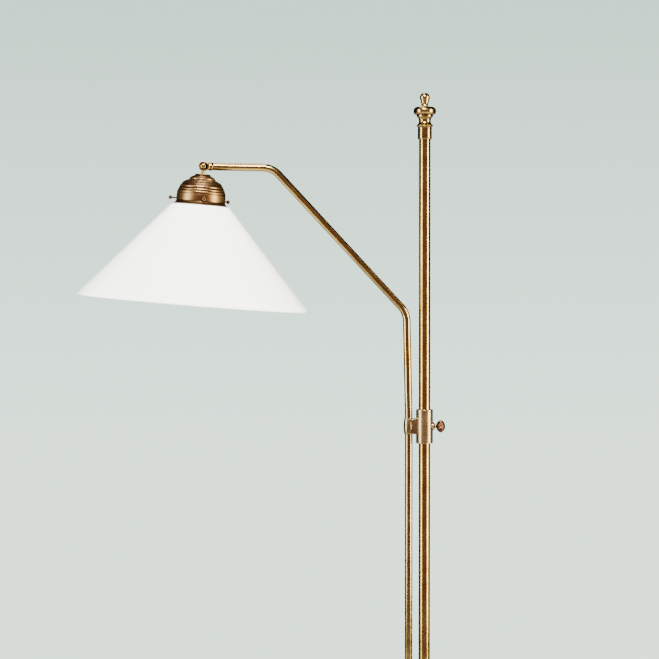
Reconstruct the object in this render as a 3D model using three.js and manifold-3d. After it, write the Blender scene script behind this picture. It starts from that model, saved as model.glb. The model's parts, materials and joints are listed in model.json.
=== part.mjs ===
// Pharmacy floor lamp in brass. A thin arm slides up and down a pole and turns around it, and holds
// an opal glass cone on a tilting knuckle. Millimetres, +Z up, floor at z = 0, pole on the Z axis,
// arm towards -X, front towards -Y.
import * as THREE from 'three';
import { mergeVertices } from 'three/addons/utils/BufferGeometryUtils.js';
import Module from 'manifold-3d';

const wasm = await Module();
wasm.setup();

// Clearance between pieces that meet, and the number of sides of small, middling and large rounds.
const gap = 0.3;
const smallSides = 16;
const mediumSides = 20;
const largeSides = 32;

// Base and pole.
const totalHeight = 1400;
const baseRadius = 130;
const baseTop = 34;
const feltThickness = 2;
const sheet = 1.5;
const poleRadius = 7.5;
const poleBore = 6.25;
const studRadius = 4;
const socketTop = 94;

// Blocks that slide on the pole and hold the arm.
const armOffset = 20.5;
const sleeveRadius = 11.05;
const linerRadius = 8.9;
const clampHeight = 965.6;
const guideHeight = 560;
const lipThickness = 1.8;

// Arm tube: radius, bore, and the corners of its centreline in the XZ plane.
const armRadius = 5;
const armBore = 4;
const armFoot = 535;
const armCorners = [
  [-armOffset, armFoot],
  [-armOffset, 977],
  [-23.5, 1113.8],
  [-198.3, 1302.656],
  [-274.9, 1304.2],
];
const bendRadius = 29;
const leadRadius = 2.2;

// Knuckle and shade.
const knuckleReach = 13.1;
const knuckleRadius = 6;
const earFace = 5.7;
const slotFace = 3.3;
const shadeTilt = THREE.MathUtils.degToRad(4.7);
const rimRadius = 150;
const rimDepth = 179.5;
const coneSlope = 0.894;
const coneTop = [39.2, 52];
const glassWall = 3;
const neckRadius = 28.6;
const screwDepth = 43;
const screwAngles = { front: -81, right: 39, left: 159 };

// Colour, roughness and metalness of each finish.
const finishes = {
  brass: { color: 0xa57c48, roughness: 0.3, metalness: 1 },
  satinBrass: { color: 0xb08d5a, roughness: 0.42, metalness: 1 },
  steel: { color: 0x9a9a96, roughness: 0.4, metalness: 1 },
  iron: { color: 0x3a3a3a, roughness: 0.8, metalness: 0.6 },
  felt: { color: 0x2c3a2c, roughness: 1, metalness: 0 },
  nylon: { color: 0xd9d4c4, roughness: 0.5, metalness: 0 },
  rubber: { color: 0x1c1c1c, roughness: 0.8, metalness: 0 },
  porcelain: { color: 0xe8e4da, roughness: 0.25, metalness: 0 },
  opal: { color: 0xf6f6f1, roughness: 0.12, metalness: 0 },
};

// A named mesh with its own material, added to a group.
function addPiece(group, name, geometry, finish) {
  const material = new THREE.MeshStandardMaterial(finishes[finish]);
  const mesh = new THREE.Mesh(geometry, material);
  mesh.name = name;
  group.add(mesh);
}

// A solid turned about Z from [radius, height] pairs that run up the outside and down the inside.
function turned(outline, sides = mediumSides) {
  const solidCore = outline[0][0] === 0 && outline.at(-1)[0] === 0;
  const loop = solidCore ? outline : [...outline, outline[0]];
  const points = loop.map(([radius, height]) => new THREE.Vector2(radius, height));
  return new THREE.LatheGeometry(points, sides).rotateX(Math.PI / 2);
}

// The same for a piece that hangs: [radius, depth] pairs down the outside and up the inside.
function hung(outline, sides = mediumSides) {
  return turned(outline.map(([radius, depth]) => [radius, -depth]).reverse(), sides);
}

function rod(radius, low, high, sides = smallSides) {
  return turned([[0, low], [radius, low], [radius, high], [0, high]], sides);
}

function ring(outer, inner, low, high, sides = mediumSides) {
  return turned([[outer, low], [outer, high], [inner, high], [inner, low]], sides);
}

// Turn a piece made along Z so that it lies along X or along Y.
const alongX = (geometry) => geometry.rotateY(Math.PI / 2);
const alongY = (geometry) => geometry.rotateX(-Math.PI / 2);

function circlePoints(radius, sides) {
  const angles = Array.from({ length: sides }, (_, k) => (2 * Math.PI * k) / sides);
  return angles.map((a) => new THREE.Vector2(radius * Math.cos(a), radius * Math.sin(a)));
}

function holedShape(outer, outerSides, inner, innerSides) {
  const shape = new THREE.Shape(circlePoints(outer, outerSides));
  if (inner > 0) shape.holes.push(new THREE.Path(circlePoints(inner, innerSides)));
  return shape;
}

function hexNut(cornerRadius, hole, low, high) {
  const shape = holedShape(cornerRadius, 6, hole, smallSides);
  const depth = high - low;
  return new THREE.ExtrudeGeometry(shape, { depth, bevelEnabled: false }).translate(0, 0, low);
}

// Geometry to solid and back, for cuts and joins.
function solidOf(geometry) {
  geometry.deleteAttribute('normal');
  geometry.deleteAttribute('uv');
  const merged = mergeVertices(geometry);
  const vertProperties = merged.attributes.position.array;
  const triVerts = new Uint32Array(merged.index.array);
  return new wasm.Manifold(new wasm.Mesh({ numProp: 3, vertProperties, triVerts }));
}

function geometryOf(solid) {
  const mesh = solid.getMesh();
  const geometry = new THREE.BufferGeometry();
  geometry.setAttribute('position', new THREE.BufferAttribute(mesh.vertProperties, 3));
  geometry.setIndex(new THREE.BufferAttribute(mesh.triVerts, 1));
  geometry.computeVertexNormals();
  return geometry;
}

function joinAndCut(added, removed) {
  const whole = added.map(solidOf).reduce((sum, solid) => sum.add(solid));
  return geometryOf(removed.map(solidOf).reduce((rest, solid) => rest.subtract(solid), whole));
}

// A centreline made of stations: none along its straights, several in each bend.
class Route extends THREE.Curve {
  constructor(stations) {
    super();
    this.stations = stations;
  }

  getPoint(t) {
    const last = this.stations.length - 1;
    const index = Math.min(Math.floor(t * last), last - 1);
    return this.stations[index].clone().lerp(this.stations[index + 1], t * last - index);
  }

  getPointAt(u) {
    return this.getPoint(u);
  }

  getTangentAt(u) {
    const last = this.stations.length - 1;
    const index = Math.round(u * last);
    const ahead = this.stations[Math.min(index + 1, last)].clone();
    return ahead.sub(this.stations[Math.max(index - 1, 0)]).normalize();
  }
}

// Stations of one rounded corner: an arc of the given radius, tangent to both straights.
function cornerStations(previous, corner, next, radius) {
  const back = previous.clone().sub(corner).normalize();
  const onward = next.clone().sub(corner).normalize();
  const half = back.angleTo(onward) / 2;
  const centre = back.clone().add(onward).setLength(radius / Math.sin(half)).add(corner);
  const start = back.clone().setLength(radius / Math.tan(half)).add(corner).sub(centre);
  const end = onward.clone().setLength(radius / Math.tan(half)).add(corner).sub(centre);
  const axis = start.clone().cross(end).normalize();
  const turn = Math.PI - 2 * half;
  const steps = Math.ceil(turn / THREE.MathUtils.degToRad(7));
  return Array.from({ length: steps + 1 }, (_, k) =>
    start.clone().applyAxisAngle(axis, (turn * k) / steps).add(centre));
}

function bentRoute(corners, radius) {
  const points = corners.map(([x, z]) => new THREE.Vector3(x, 0, z));
  const bends = points.slice(1, -1).map((corner, i) =>
    cornerStations(points[i], corner, points[i + 2], radius));
  return new Route([points[0], ...bends.flat(), points.at(-1)]);
}

function sweep(route, outer, inner, sides) {
  const steps = route.stations.length - 1;
  const options = { steps, extrudePath: route, bevelEnabled: false };
  return new THREE.ExtrudeGeometry(holedShape(outer, sides, inner, sides), options);
}

// Spun brass foot: rolled edge, a step, then a shallow dome, z = rise * (1 - t^2), to a flat crown.
function coverOutline(inset) {
  const crownRadius = 30;
  const domeRadius = baseRadius - 8.5;
  const domeFoot = 15;
  const domeSteps = 5;
  const dome = Array.from({ length: domeSteps + 1 }, (_, k) => {
    const t = 1 - k / domeSteps;
    const radius = crownRadius + (domeRadius - crownRadius) * t;
    return [radius - 0.4 * inset * t, domeFoot + (baseTop - domeFoot) * (1 - t * t) - inset];
  });
  const edge = [
    [baseRadius - inset, 1],
    [baseRadius - inset, 8 - 0.4 * inset],
    [baseRadius - 2 - 0.8 * inset, 11 - 0.8 * inset],
    [baseRadius - 6.5 - 0.6 * inset, 12.5 - inset],
  ];
  return [...edge, ...dome, [studRadius + 1, baseTop - inset]];
}

function addBase(group) {
  const cover = [...coverOutline(0), ...coverOutline(sheet).reverse()];
  addPiece(group, 'base_cover', turned(cover, largeSides), 'brass');
  const weightFoot = feltThickness + gap;
  const hubTop = baseTop - sheet - gap;
  const nutPocket = 14;
  const weight = [
    [nutPocket, weightFoot], [118, weightFoot], [118, 13], [100, 19], [60, 27], [20, 28],
    [20, hubTop], [studRadius + gap, hubTop], [studRadius + gap, 12.3], [nutPocket, 12.3],
  ];
  addPiece(group, 'base_weight', turned(weight), 'iron');
  addPiece(group, 'base_felt', rod(122, 0, feltThickness, largeSides), 'felt');
  addPiece(group, 'base_stud', rod(studRadius, 2.8, 62), 'steel');
  addPiece(group, 'base_washer', ring(11, studRadius + gap, 10.2, 12, 20), 'steel');
  addPiece(group, 'base_nut', hexNut(7.5, studRadius + gap, 3.2, 9.9), 'steel');
}

function addPole(group) {
  const foot = baseTop + gap;
  const socket = [
    [31, foot], [31, foot + 2.5], [29, foot + 4.5], [24, foot + 6.5], [18, foot + 11],
    [14, foot + 18], [13, foot + 24], [15.5, foot + 25.5], [16, foot + 28], [15.5, foot + 30.5],
    [12.8, foot + 32], [11.8, foot + 36], [11.2, socketTop - 2], [10, socketTop],
    [poleRadius + gap, socketTop], [poleRadius + gap, foot],
  ];
  addPiece(group, 'column_socket', turned(socket), 'brass');
  const pole = ring(poleRadius, poleBore, foot, totalHeight - 48);
  addPiece(group, 'pole_tube', pole, 'brass');
  const footPlug = ring(poleBore - gap, studRadius + gap, foot + 1, foot + 29, smallSides);
  addPiece(group, 'pole_foot_plug', footPlug, 'brass');
}

// The finial: a plain sleeve over the pole end, a turned vase and a knob, on one threaded plug.
function addFinial(group) {
  const top = totalHeight;
  const stud = 2.5;
  const hole = stud + gap;
  const plug = [
    [0, top - 66], [poleBore - gap, top - 66], [poleBore - gap, top - 48.4], [stud, top - 48.4],
    [stud, top - 12.5], [0, top - 12.5],
  ];
  addPiece(group, 'pole_top_plug', turned(plug, smallSides), 'brass');
  const sleeve = [
    [poleRadius + gap, top - 60.4], [8.6, top - 60.4], [9.2, top - 59.6], [9.2, top - 44.9],
    [hole, top - 44.9], [hole, top - 47.7], [poleRadius + gap, top - 47.7],
  ];
  addPiece(group, 'finial_sleeve', turned(sleeve), 'brass');
  const vase = [
    [hole, top - 44.6], [9.4, top - 44.6], [11.1, top - 42.8], [10, top - 41], [8.7, top - 38.6],
    [8.1, top - 35.5], [8.6, top - 33.2], [9.6, top - 31.8], [10.6, top - 30.6],
    [10.6, top - 28.9], [12.2, top - 28], [14.1, top - 26], [14.75, top - 23.7],
    [14.1, top - 21.2], [12.3, top - 19.4], [9.6, top - 18.6], [hole, top - 18.3],
  ];
  addPiece(group, 'finial_vase', turned(vase), 'brass');
  const knob = [
    [0, top - 12.2], [hole, top - 12.2], [hole, top - 18], [4.4, top - 18], [4.6, top - 15],
    [4.8, top - 13], [5.6, top - 9.4], [6.2, top - 5.2], [5.8, top - 2.8], [4.2, top - 0.9],
    [2.1, top - 0.1], [0, top],
  ];
  addPiece(group, 'finial_knob', turned(knob, 20), 'brass');
}

// Flat bridge between sleeve and collar, flared where it meets the sleeve.
function bridge(centre, halfHeight) {
  const flare = 2;
  const wall = -sleeveRadius + 0.6;
  const outline = new THREE.Shape();
  outline.moveTo(-armOffset, -halfHeight + 0.8);
  outline.lineTo(wall - flare, -halfHeight + 0.8);
  outline.quadraticCurveTo(wall, -halfHeight + 0.8, wall, -halfHeight - flare);
  outline.lineTo(wall + 1.5, -halfHeight - flare);
  outline.lineTo(wall + 1.5, halfHeight + flare);
  outline.lineTo(wall, halfHeight + flare);
  outline.quadraticCurveTo(wall, halfHeight, wall - flare, halfHeight);
  outline.lineTo(-armOffset, halfHeight);
  const depth = 12;
  const options = { depth, bevelEnabled: false, curveSegments: 4 };
  const plate = new THREE.ExtrudeGeometry(outline, options);
  return plate.rotateX(Math.PI / 2).translate(0, depth / 2, centre);
}

// A block that runs on the pole: sleeve, bridge and a barrel-shaped collar around the arm tube.
function slidingBlock(centre, halfLength, halfHeight, extra, extraCuts) {
  const low = centre - halfLength;
  const high = centre + halfLength;
  const sleeve = turned([
    [0, low], [sleeveRadius - 0.8, low], [sleeveRadius, low + 0.8], [sleeveRadius, high - 0.8],
    [sleeveRadius - 0.8, high], [0, high],
  ], 28);
  const collar = turned([
    [0, centre - halfHeight], [5.8, centre - halfHeight], [6.6, centre - 0.55 * halfHeight],
    [6.85, centre], [6.6, centre + 0.55 * halfHeight], [5.8, centre + halfHeight],
    [0, centre + halfHeight],
  ], 20).translate(-armOffset, 0, 0);
  const mouth = poleRadius + 0.5;
  const bore = linerRadius + gap;
  const poleCut = turned([
    [0, low - 1], [mouth, low - 1], [mouth, low + lipThickness], [bore, low + lipThickness],
    [bore, high - lipThickness], [mouth, high - lipThickness], [mouth, high + 1], [0, high + 1],
  ], 24);
  const armCut = rod(armRadius + gap, centre - halfHeight - 1, centre + halfHeight + 1, 20);
  const cuts = [poleCut, armCut.translate(-armOffset, 0, 0), ...extraCuts];
  return joinAndCut([sleeve, bridge(centre, halfHeight), collar, ...extra], cuts);
}

function addBlocks(group) {
  const clampHalf = 22.1;
  const guideHalf = 14;
  const boss = alongX(turned([[0, 9.5], [5.5, 9.5], [5.5, 11.2], [3.4, 13.5], [0, 13.5]], 20));
  const padCut = alongX(rod(2.9, 6, 12));
  const studCut = alongX(rod(2.3, 11, 15));
  const toClamp = (geometry) => geometry.translate(0, 0, clampHeight);
  const clampCuts = [toClamp(padCut), toClamp(studCut)];
  const clamp = slidingBlock(clampHeight, clampHalf, 10.4, [toClamp(boss)], clampCuts);
  addPiece(group, 'upper_clamp', clamp, 'satinBrass');
  const guide = slidingBlock(guideHeight, guideHalf, 8, [], []);
  addPiece(group, 'lower_guide', guide, 'satinBrass');
  const bush = (low, high) => ring(linerRadius, poleRadius + gap, low, high, mediumSides);
  const inside = lipThickness + gap;
  const clampFoot = clampHeight - clampHalf + inside;
  const clampHead = clampHeight + clampHalf - inside;
  addPiece(group, 'clamp_liner_lower', bush(clampFoot, clampFoot + 14), 'nylon');
  addPiece(group, 'clamp_liner_upper', bush(clampHead - 14, clampHead), 'nylon');
  const guideFoot = guideHeight - guideHalf + inside;
  const guideHead = guideHeight + guideHalf - inside;
  addPiece(group, 'guide_liner', bush(guideFoot, guideHead), 'nylon');
}

// Thumb screw opposite the arm: a pad bears on the pole, a stud pushes it, a knob turns the stud.
function addThumbScrew(group) {
  const lift = (geometry) => alongX(geometry).translate(0, 0, clampHeight);
  addPiece(group, 'clamp_pad', lift(rod(2.6, poleRadius + gap, 10.3)), 'nylon');
  const stud = [
    [0, 10.6], [2, 10.6], [2, 13.8], [2.25, 14.1], [2.25, 15], [2, 15.3], [2, 20], [0, 20],
  ];
  addPiece(group, 'thumb_screw_stud', lift(turned(stud, smallSides)), 'brass');
  const knob = [
    [0, 20.3], [2.3, 20.3], [2.3, 15.6], [3, 15.6], [5.4, 16.9], [7.3, 18.8], [8.1, 20.6],
    [8.1, 21.8], [7.3, 23.7], [5.4, 25.5], [2.8, 26.6], [0, 27],
  ];
  addPiece(group, 'thumb_screw_knob', lift(turned(knob, smallSides)), 'brass');
}

function addArm(group) {
  const tube = sweep(bentRoute(armCorners, bendRadius), armRadius, armBore, 14);
  addPiece(group, 'arm_tube', tube, 'brass');
  const leadCorners = armCorners.map((corner) => [...corner]);
  leadCorners[0][1] = armFoot - 3.5;
  const lead = sweep(bentRoute(leadCorners, bendRadius), leadRadius, 0, 8);
  addPiece(group, 'arm_lead', lead, 'rubber');
  const ferrule = [
    [5.4, armFoot - 5], [6.4, armFoot - 4], [6.6, armFoot - 1], [6.6, armFoot + 4],
    [6, armFoot + 6], [armRadius + gap, armFoot + 6], [armRadius + gap, armFoot - gap],
    [4.6, armFoot - gap], [4.6, armFoot - 5],
  ];
  addPiece(group, 'arm_ferrule', turned(ferrule, 20).translate(-armOffset, 0, 0), 'brass');
  const bush = [
    [3.4, armFoot - 8], [4.9, armFoot - 7.4], [4.9, armFoot - 5.3], [4.3, armFoot - 5.3],
    [4.3, armFoot - 0.6], [2.6, armFoot - 0.6], [2.6, armFoot - 8],
  ];
  addPiece(group, 'cord_outlet_bush', turned(bush, 20).translate(-armOffset, 0, 0), 'rubber');
}

// Knuckle, in its own frame: pivot at the origin, +X back along the arm, hinge axis along Y.
function addKnuckle(group) {
  const fitting = alongX(turned([
    [0, 3], [3.6, 3], [4.6, 6], [5.5, 8], [5.5, 10.4], [5, 12], [4.2, knuckleReach - gap],
    [armBore - gap, knuckleReach - gap], [armBore - gap, 24], [0, 24],
  ], 20));
  const ears = alongY(rod(knuckleRadius, -earFace, earFace, 20));
  const root = new THREE.BoxGeometry(8, 2 * earFace - 1.4, 8.4).translate(4, 0, 0);
  const slot = new THREE.BoxGeometry(16, 2 * slotFace, 20).translate(-1.7, 0, 0);
  const pinHole = alongY(rod(1.8, -10, 10));
  const leadHole = alongX(rod(leadRadius + gap, 10, 26));
  const fork = joinAndCut([ears, root, fitting], [slot, pinHole, leadHole]);
  addPiece(group, 'arm_end_fork', fork, 'brass');
  for (const [side, turn] of [['front', Math.PI], ['back', 0]]) {
    const washer = alongY(ring(5.2, 1.8, 2.3, 3, 20)).rotateZ(turn);
    addPiece(group, `tilt_washer_${side}`, washer, 'nylon');
  }
  const screw = [
    [0, -7.8], [1.9, -7.6], [3.2, -6.8], [3.4, -earFace - gap], [1.5, -earFace - gap],
    [1.5, 8.6], [0, 8.6],
  ];
  addPiece(group, 'tilt_screw', alongY(turned(screw, smallSides)), 'brass');
  const nut = alongY(hexNut(3.5, 1.8, earFace + gap, earFace + gap + 2.3));
  addPiece(group, 'tilt_nut', nut, 'brass');
}

// Gallery dome: three beads run around it, and a plain skirt ends in a flared lip.
function galleryOutline() {
  const beads = 3;
  const beadPitch = 3.8;
  const beadHeight = 0.6;
  const beadStart = 25.1;
  const shoulder = new THREE.SplineCurve([
    new THREE.Vector2(19.2, 18.2), new THREE.Vector2(22.8, 19.9), new THREE.Vector2(25.2, 22),
    new THREE.Vector2(27.3, 25.6), new THREE.Vector2(29.1, 29.1), new THREE.Vector2(30.9, 33.4),
    new THREE.Vector2(32, 37.2),
  ]);
  const outside = shoulder.getPoints(16).map(({ x, y }) => {
    const place = (y - beadStart) / beadPitch;
    const rise = place > 0 && place < beads ? Math.abs(Math.sin(Math.PI * place)) : 0;
    return [x + beadHeight * rise, y];
  });
  const lip = [[32, 46.2], [33.5, 48.8], [35.6, 49.9], [35.4, 50.5], [32.7, 49.8]];
  const inside = shoulder.getPoints(5).reverse().map(({ x, y }) => [x - 1, y + 0.9]);
  return [[5.3, 18.2], ...outside, ...lip, [31, 46.8], ...inside, [5.3, 19.2]];
}

// Radial cylinder at the height of the shade screws.
function radialRod(radius, from, to, angle) {
  const bar = alongX(rod(radius, from, to, 12));
  return bar.rotateZ(THREE.MathUtils.degToRad(angle)).translate(0, 0, -screwDepth);
}

function addGallery(group) {
  const cap = [
    [9, 10.2], [9.7, 10.6], [14.2, 13.9], [16.8, 16.3], [17.2, 17.9], [5.3, 17.9], [5.3, 15.1],
    [3.1, 15.1], [3.1, 13.2], [7.6, 12],
  ];
  addPiece(group, 'gallery_cap', hung(cap), 'satinBrass');
  const holes = Object.values(screwAngles).map((angle) => radialRod(1.3, 26, 40, angle));
  const dome = joinAndCut([hung(galleryOutline(), mediumSides)], holes);
  addPiece(group, 'gallery_dome', dome, 'satinBrass');
  addPiece(group, 'gallery_nipple', ring(5, 3.1, -33, -15.4, smallSides), 'steel');
  addPiece(group, 'gallery_washer', ring(9, 5.3, -20.6, -19.5, 20), 'steel');
  addPiece(group, 'gallery_lock_nut', hexNut(8.1, 5.3, -24.8, -20.9), 'steel');
}

// Tongue and hollow stem that carry the gallery; the lead to the lampholder runs down the stem.
function addStem(group) {
  const tongue = alongY(rod(knuckleRadius, -2, 2, 20));
  const stem = rod(2.75, -31, -5.6);
  const pinHole = alongY(rod(1.8, -4, 4));
  const leadHole = rod(1.7, -33, -3.2, 12);
  const foot = joinAndCut([tongue, stem], [pinHole, leadHole]);
  addPiece(group, 'shade_stem', foot, 'brass');
  addPiece(group, 'stem_lead', rod(1.3, -36, -4, 8), 'rubber');
}

function addLampholder(group) {
  const cap = [
    [5.3, 26.1], [13, 26.1], [17.5, 29], [19.5, 33], [19.5, 43], [18, 43], [18, 33.6],
    [16.4, 30.4], [12.5, 28.1], [5.3, 28.1],
  ];
  addPiece(group, 'lampholder_cap', hung(cap), 'porcelain');
  addPiece(group, 'lampholder_sleeve', ring(19.5, 17.2, -78, -43.3), 'porcelain');
  addPiece(group, 'lampholder_insulator', rod(16.9, -46.5, -37, 20), 'porcelain');
  const thread = [[14.9, 47.2], [14.9, 74], [14.1, 74], [14.1, 48], [6, 48], [6, 47.2]];
  addPiece(group, 'lampholder_thread', hung(thread), 'brass');
  addPiece(group, 'lampholder_contact', rod(3.4, -48.7, -46.8, 12), 'brass');
}

function addBulb(group) {
  const contact = [[0, 49], [3, 49], [5.5, 51], [5.5, 52.6], [0, 52.6]];
  addPiece(group, 'bulb_contact', hung(contact, smallSides), 'steel');
  const cap = [[7, 52.9], [11, 52.9], [13.2, 56], [13.2, 78], [12.4, 78], [12.4, 57], [7, 54]];
  addPiece(group, 'bulb_cap', hung(cap), 'steel');
  const widest = 30;
  const outside = [
    [12, 66], [12, 79], [14.5, 86], [22.5, 103], [27.3, 114], [widest, 126],
    [28.2, 139], [22, 150], [11, 157],
  ];
  const inside = outside.map(([r, d]) => [r - 0.9, d - 0.4]).reverse();
  const glass = [...outside, [0, 158.6], [0, 157.6], ...inside];
  const start = glass.findIndex(([r]) => r === 0);
  const loop = [...glass.slice(start + 1), ...glass.slice(0, start + 1)];
  addPiece(group, 'bulb_glass', hung(loop, smallSides), 'opal');
}

// Glass cone: a lip and neck inside the gallery, a rounded shoulder, a straight cone, a rim that
// turns down over its last few millimetres.
function addShade(group) {
  const coneRadius = (depth) => coneTop[0] + coneSlope * (depth - coneTop[1]);
  const inset = glassWall * Math.hypot(1, coneSlope);
  const coneFoot = 174;
  const outside = [
    [30.2, 36.6], [30.2, 39.4], [neckRadius, 41], [neckRadius, 48.2], [29.8, 49.6],
    [33.6, 50.8], [37, 51.2], coneTop, [coneRadius(coneFoot), coneFoot],
    [rimRadius, rimDepth - 2], [rimRadius - 0.5, rimDepth],
  ];
  const inside = [
    [rimRadius - glassWall - 0.2, rimDepth], [coneRadius(coneFoot) - inset, coneFoot],
    [coneRadius(57) - inset, 57], [34.6, 53.8], [29, 52.8],
    [26.6, 51.2], [25.6, 48.6], [25.6, 36.6],
  ];
  addPiece(group, 'glass_shade', hung([...outside, ...inside], 44), 'opal');
}

// Three set screws bear on the neck of the glass; each has a button head.
function addShadeScrews(group) {
  const tip = neckRadius + gap;
  const screw = [
    [0, tip], [0.9, tip], [0.9, 42.6], [1.7, 42.8], [2.5, 43.7], [2.5, 44.8], [1.6, 45.9],
    [0, 46.3],
  ];
  for (const [side, angle] of Object.entries(screwAngles)) {
    const shaft = alongX(turned(screw, 12)).rotateZ(THREE.MathUtils.degToRad(angle));
    addPiece(group, `shade_screw_${side}`, shaft.translate(0, 0, -screwDepth), 'brass');
  }
}

const lamp = new THREE.Group();
addBase(lamp);
addPole(lamp);
addFinial(lamp);
addBlocks(lamp);
addThumbScrew(lamp);
addArm(lamp);

// The knuckle sits in line with the outer end of the arm, and the shade hangs tilted from it.
const [elbowX, elbowZ] = armCorners.at(-2);
const [tipX, tipZ] = armCorners.at(-1);
const armRise = Math.atan2(tipZ - elbowZ, elbowX - tipX);
const pivotX = tipX - knuckleReach * Math.cos(armRise);
const pivotZ = tipZ + knuckleReach * Math.sin(armRise);
const knuckle = new THREE.Group();
knuckle.position.set(pivotX, 0, pivotZ);
knuckle.rotation.y = armRise;
addKnuckle(knuckle);
lamp.add(knuckle);

const head = new THREE.Group();
head.position.set(pivotX, 0, pivotZ);
head.rotation.y = shadeTilt;
addStem(head);
addGallery(head);
addLampholder(head);
addBulb(head);
addShade(head);
addShadeScrews(head);
lamp.add(head);

export default lamp;
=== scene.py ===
# Pharmacy floor lamp: antique brass pole, sliding arm, ribbed gallery and an opal glass cone.
import bpy
import json
import numpy as np
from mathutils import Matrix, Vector


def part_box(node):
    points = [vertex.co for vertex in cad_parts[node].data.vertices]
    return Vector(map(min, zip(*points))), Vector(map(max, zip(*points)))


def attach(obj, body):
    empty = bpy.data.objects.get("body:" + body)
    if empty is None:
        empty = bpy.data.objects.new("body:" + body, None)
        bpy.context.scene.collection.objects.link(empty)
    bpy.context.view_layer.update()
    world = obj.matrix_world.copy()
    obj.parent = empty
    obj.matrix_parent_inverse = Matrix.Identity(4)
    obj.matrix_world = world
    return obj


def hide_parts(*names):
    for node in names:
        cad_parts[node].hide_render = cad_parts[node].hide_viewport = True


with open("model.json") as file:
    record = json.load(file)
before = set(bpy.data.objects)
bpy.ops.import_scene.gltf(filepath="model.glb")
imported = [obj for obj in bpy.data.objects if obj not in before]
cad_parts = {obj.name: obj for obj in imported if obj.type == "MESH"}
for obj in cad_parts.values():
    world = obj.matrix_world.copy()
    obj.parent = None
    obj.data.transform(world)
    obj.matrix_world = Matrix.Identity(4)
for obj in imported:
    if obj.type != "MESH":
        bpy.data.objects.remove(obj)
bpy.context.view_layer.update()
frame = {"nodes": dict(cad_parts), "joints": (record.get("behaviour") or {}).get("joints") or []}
mm = 0.001
fullTurn = 2 * np.pi
stand, arm, head = "stand", "arm", "head"


# camera and lights
view = {
    "place": (-0.124, -2.8, 1.165),   # metres: a little above the middle of what it sees
    "target": (-0.124, 0.0, 1.092),
    "lens": 117.3,
    "floorRadius": 3.0,
    "clipEnd": 60,
    "litPoint": (-0.15, 0, 1.1),   # where every softbox points
}
softboxes = {   # place, size across and up, watts and colour, each turned towards the lamp
    "keyLeft": ((-2.3, -1.05, 1.35), (0.9, 2.2), 165, "#FBFFF4"),
    "keyRight": ((2.3, -1.0, 1.35), (0.95, 2.2), 280, "#FFF9DC"),
    "highFront": ((-0.25, -1.55, 2.75), (1.0, 0.5), 215, "#FFFFFF"),
    "overhead": ((-0.25, 0.5, 2.9), (0.5, 0.6), 16, "#FFFFFF"),
}


def linear(hexCode, alpha=1.0):
    # sRGB to linear: c / 12.92 for dark values, ((c + 0.055) / 1.055)^2.4 above
    srgb = np.array([int(hexCode[i:i + 2], 16) for i in (1, 3, 5)]) / 255
    return (*np.where(srgb <= 0.04045, srgb / 12.92, ((srgb + 0.055) / 1.055) ** 2.4), alpha)


def aim(obj, target):   # turn an object so that its own -Z looks at target
    look = Vector(target) - obj.location
    obj.rotation_euler = look.to_track_quat("-Z", "Y").to_euler()


def makeCamera():
    camera = bpy.data.objects.new("camera", bpy.data.cameras.new("camera"))
    bpy.context.scene.collection.objects.link(camera)
    camera.location = view["place"]
    camera.data.lens = view["lens"]
    camera.data.clip_end = view["clipEnd"]
    aim(camera, view["target"])
    bpy.context.scene.camera = camera


def makeLights():
    for name, (place, size, watts, tint) in softboxes.items():
        lamp = bpy.data.lights.new(name, "AREA")
        lamp.shape = "RECTANGLE"
        lamp.size, lamp.size_y = size
        lamp.energy = watts
        lamp.color = linear(tint)[:3]
        box = bpy.data.objects.new(name, lamp)
        bpy.context.scene.collection.objects.link(box)
        box.location = place
        aim(box, view["litPoint"])


def node(tree, kind, settings=None, links=None):
    # adds a node; a setting is an input by name or number, or else a property of the node
    made = tree.nodes.new(kind)
    for key, value in (settings or {}).items():
        if isinstance(key, int) or key in made.inputs:
            made.inputs[key].default_value = value
        else:
            setattr(made, key, value)
    for key, source in (links or {}).items():
        tree.links.new(source, made.inputs[key])
    return made


def makeWorld():
    # what the camera sees behind the lamp: pale grey-green, a little darker above.
    # what reflections see: a dim warm room in front and almost nothing behind
    world = bpy.data.worlds.new("studio")
    world.use_nodes = True
    tree = world.node_tree
    tree.nodes.clear()
    ray = node(tree, "ShaderNodeLightPath")
    where = node(tree, "ShaderNodeTexCoord")
    part = node(tree, "ShaderNodeSeparateXYZ", links={0: where.outputs["Generated"]})
    height = node(tree, "ShaderNodeMapRange", {"From Min": -0.09, "From Max": 0.12},
                  {"Value": part.outputs["Z"]})
    wall = node(tree, "ShaderNodeMix", {"data_type": "RGBA", 6: linear("#CAE1D3"),
                                        7: linear("#9FB7AC")}, {0: height.outputs[0]})
    seen = node(tree, "ShaderNodeBackground", {"Strength": 3.0}, {"Color": wall.outputs[2]})
    depth = node(tree, "ShaderNodeMapRange", {"From Min": -1.0, "From Max": 0.1},
                 {"Value": part.outputs["Y"]})
    room = node(tree, "ShaderNodeMix", {"data_type": "RGBA", 6: linear("#C9A097"),
                                        7: linear("#2A2724")}, {0: depth.outputs[0]})
    dim = node(tree, "ShaderNodeBackground", {"Strength": 0.95}, {"Color": room.outputs[2]})
    mix = node(tree, "ShaderNodeMixShader",
               links={0: ray.outputs["Is Camera Ray"], 1: dim.outputs[0], 2: seen.outputs[0]})
    node(tree, "ShaderNodeOutputWorld", links={"Surface": mix.outputs[0]})
    bpy.context.scene.world = world


makeCamera()
makeLights()
makeWorld()
print("camera and lights are set")


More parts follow.
